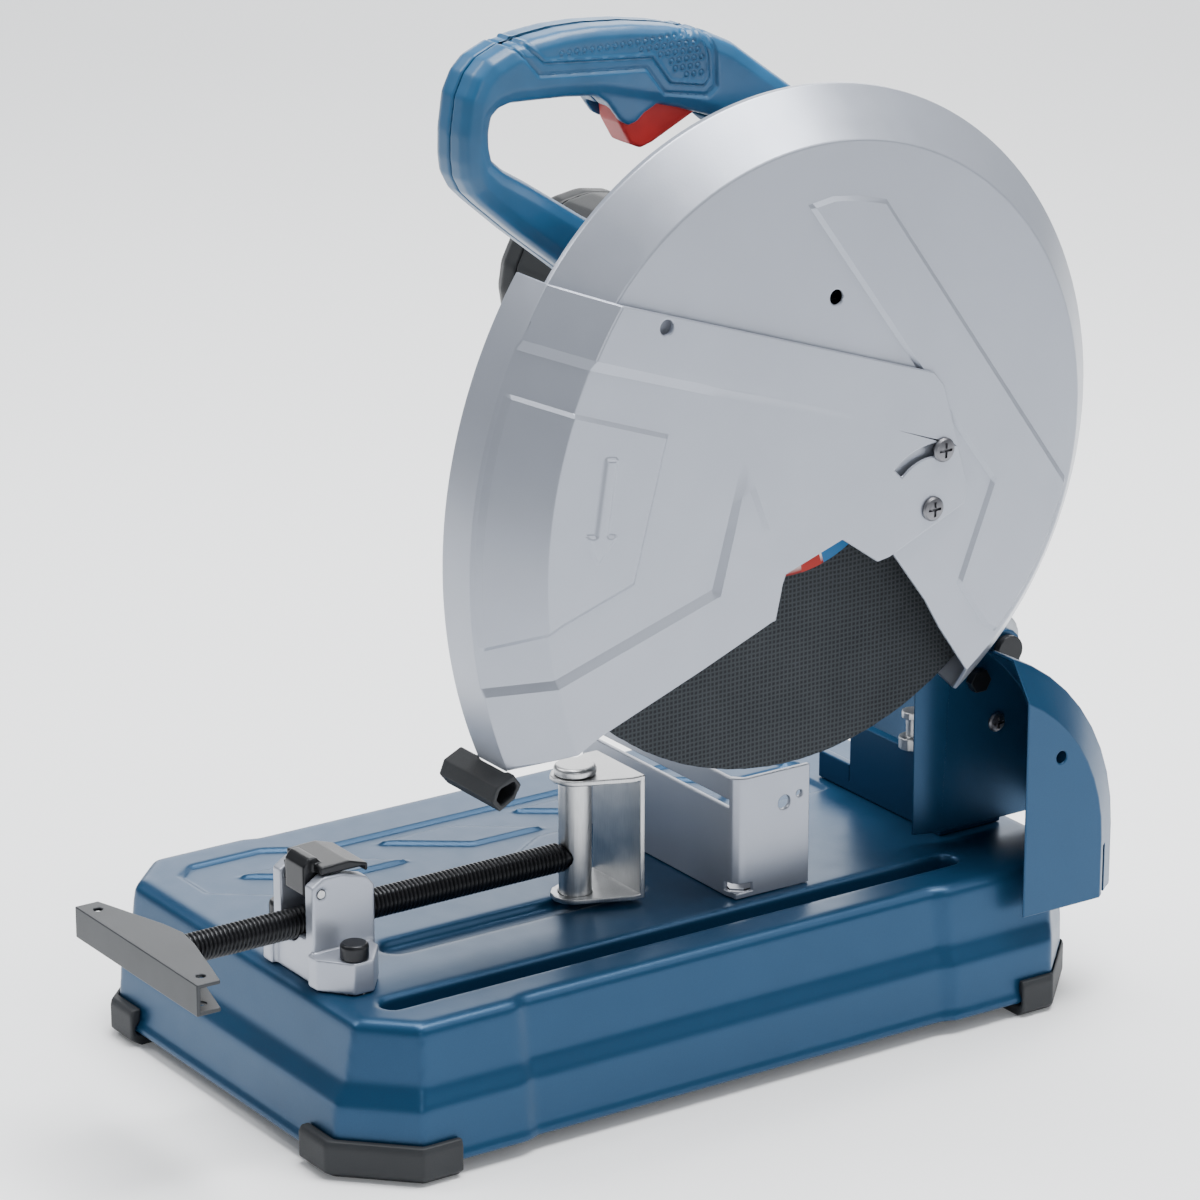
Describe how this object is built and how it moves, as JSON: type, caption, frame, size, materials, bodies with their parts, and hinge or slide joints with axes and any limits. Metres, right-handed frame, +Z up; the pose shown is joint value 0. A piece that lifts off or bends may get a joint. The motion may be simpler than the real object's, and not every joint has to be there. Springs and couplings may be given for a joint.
{
  "type": "abrasive chop saw",
  "caption": "Bench chop saw with an abrasive cut-off wheel, swinging guards, a D-handle and a base with a quick-action vise and fence.",
  "frame": {"origin": "on the ground under the middle of the outline's bounding box", "axes": "+X along the spindle towards the wheel's open side, +Y from the operator to the rear hinge, +Z up"},
  "size_m": [0.2961, 0.557, 0.5604],
  "materials": {
    "blue_paint": "satin",
    "blue_plastic": "satin",
    "silver_paint": "satin",
    "cast_aluminium": "satin",
    "plated_steel": "satin",
    "dark_steel": "satin",
    "black_plastic": "matte",
    "rubber": "matte",
    "wheel_grit": "matte",
    "red_plastic": "satin",
    "copper": "satin",
    "carbon": "matte",
    "core_steel": "satin"
  },
  "bodies": {
    "base": {"base_shell": "blue_paint", "foot_front_left": "rubber", "foot_rear_left": "rubber", "foot_front_right": "rubber", "foot_rear_right": "rubber", "hinge_bracket": "blue_paint", "hinge_pin": "dark_steel", "bracket_bolt": "dark_steel", "depth_stop_screw": "plated_steel", "spark_hood": "blue_paint", "hood_screw": "plated_steel", "hood_bolt": "dark_steel", "fence_bolt_right": "dark_steel", "vise_casting": "silver_paint", "vise_bolt_right": "dark_steel", "vise_bolt_left": "dark_steel", "release_lever_pin": "plated_steel"},
    "fence": {"fence": "silver_paint", "fence_bolt_left": "dark_steel"},
    "jaw_carrier": {"jaw_pin": "plated_steel"},
    "crank": {"vise_screw": "dark_steel", "crank_handle": "dark_steel"},
    "jaw": {"jaw_bracket": "plated_steel"},
    "release_lever": {"release_lever": "dark_steel"},
    "head": {"gear_housing": "cast_aluminium", "swing_arm": "cast_aluminium", "arm_bush_right": "copper", "arm_bush_left": "copper", "return_spring": "dark_steel", "motor_housing": "black_plastic", "motor_end_cap": "black_plastic", "stator": "core_steel", "brush_front": "carbon", "brush_rear": "carbon", "brush_cap_front": "black_plastic", "brush_cap_rear": "black_plastic", "armature_bearing_front": "plated_steel", "armature_bearing_rear": "plated_steel", "spindle_bearing_rear": "plated_steel", "spindle_bearing_front": "plated_steel", "upper_guard": "silver_paint", "guard_pivot_screw": "dark_steel", "guard_stop_screw": "dark_steel", "handle_right": "blue_plastic", "handle_left": "blue_plastic", "switch_body": "black_plastic", "cable_gland": "rubber"},
    "spindle": {"spindle_gear": "plated_steel", "spindle": "plated_steel", "inner_flange": "dark_steel", "abrasive_wheel": "wheel_grit", "outer_flange": "dark_steel", "spindle_bolt": "dark_steel"},
    "armature": {"armature_shaft": "plated_steel", "armature_core": "core_steel", "commutator": "copper", "cooling_fan": "black_plastic"},
    "swing_guard": {"swing_guard": "silver_paint", "guard_nub": "rubber"},
    "trigger": {"trigger": "red_plastic"}
  },
  "joints": [
    {"name": "head_hinge", "type": "hinge", "parent": "base", "child": "head", "pos_m": [0.0416, 0.2515, 0.182], "axis": [1, 0, 0], "range_deg": [0, 25], "stiffness_Nm_per_rad": 22, "springref_deg": -51.57, "deforming": ["return_spring"]},
    {"name": "fence_swivel", "type": "hinge", "parent": "base", "child": "fence", "pos_m": [0.0656, 0.0835, 0.088], "axis": [0, 0, 1], "range_deg": [-45, 0]},
    {"name": "jaw_slide", "type": "slide", "parent": "base", "child": "jaw_carrier", "axis": [0, 1, 0], "range_m": [-0.12, 0.032]},
    {"name": "crank_turn", "type": "hinge", "parent": "jaw_carrier", "child": "crank", "pos_m": [0.0366, -0.2185, 0.1085], "axis": [0, 1, 0], "continuous": true},
    {"name": "jaw_swivel", "type": "hinge", "parent": "jaw_carrier", "child": "jaw", "pos_m": [0.0366, -0.0105, 0.119], "axis": [0, 0, 1], "range_deg": [-5, 5]},
    {"name": "lever_lift", "type": "hinge", "parent": "base", "child": "release_lever", "pos_m": [0.0426, -0.1811, 0.131], "axis": [1, 0, 0], "range_deg": [0, 20]},
    {"name": "spindle_spin", "type": "hinge", "parent": "head", "child": "spindle", "pos_m": [0.0996, 0.0815, 0.338], "axis": [1, 0, 0], "continuous": true},
    {"name": "armature_spin", "type": "hinge", "parent": "head", "child": "armature", "pos_m": [-0.0104, 0.06755, 0.38796], "axis": [1, 0, 0], "continuous": true},
    {"name": "guard_swing", "type": "hinge", "parent": "head", "child": "swing_guard", "pos_m": [0.1336, 0.1475, 0.299], "axis": [-1, 0, 0], "range_deg": [0, 50]},
    {"name": "trigger_squeeze", "type": "hinge", "parent": "head", "child": "trigger", "pos_m": [0.0426, 0.0635, 0.519], "axis": [-1, 0, 0], "range_deg": [0, 8], "stiffness_Nm_per_rad": 1, "springref_deg": -8.59}
  ],
  "couplings": [
    {"joint": "armature_spin", "follows": "spindle_spin", "ratio": -5.9167},
    {"joint": "guard_swing", "follows": "head_hinge", "ratio": 2}
  ]
}
